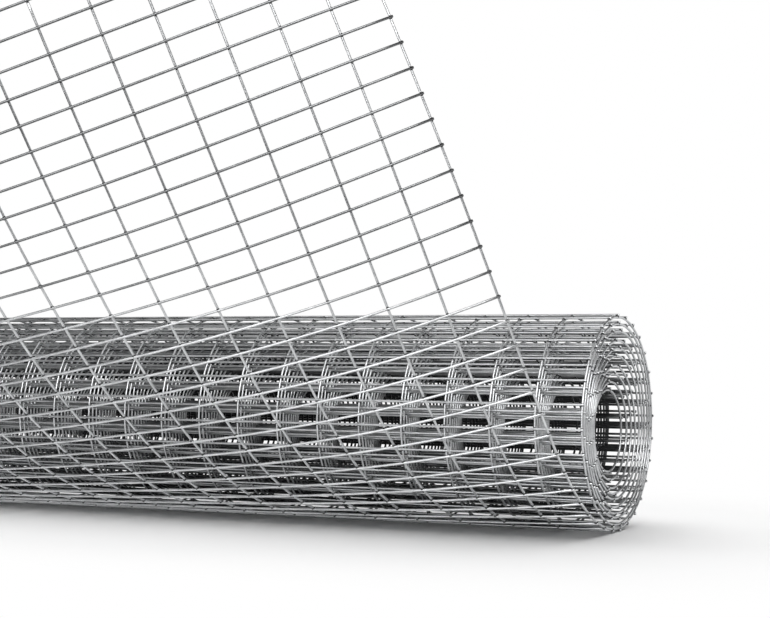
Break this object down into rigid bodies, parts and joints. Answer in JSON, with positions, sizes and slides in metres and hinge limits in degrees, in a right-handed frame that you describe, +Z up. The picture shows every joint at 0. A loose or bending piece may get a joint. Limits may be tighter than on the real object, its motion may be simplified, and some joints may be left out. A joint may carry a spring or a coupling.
{
  "type": "roll of wire fencing",
  "caption": "Roll of galvanised welded wire mesh lying on its side, with an open round core and its loose end bent up in front of it.",
  "frame": {"origin": "Middle of the roll's open core, on the axis it is wound about.", "axes": "+X along the roll's axis, +Y to the side away from the loose end, +Z up as the roll lies."},
  "size_m": [0.9189, 0.7861, 0.6125],
  "materials": {
    "galvanised_wire": "dull zinc coat on drawn wire"
  },
  "bodies": {
    "root": {"roll": "galvanised_wire", "loose_end_1": "galvanised_wire", "loose_end_2": "galvanised_wire", "loose_end_3": "galvanised_wire", "loose_end_4": "galvanised_wire", "loose_end_5": "galvanised_wire", "loose_end_6": "galvanised_wire"}
  },
  "joints": []
}
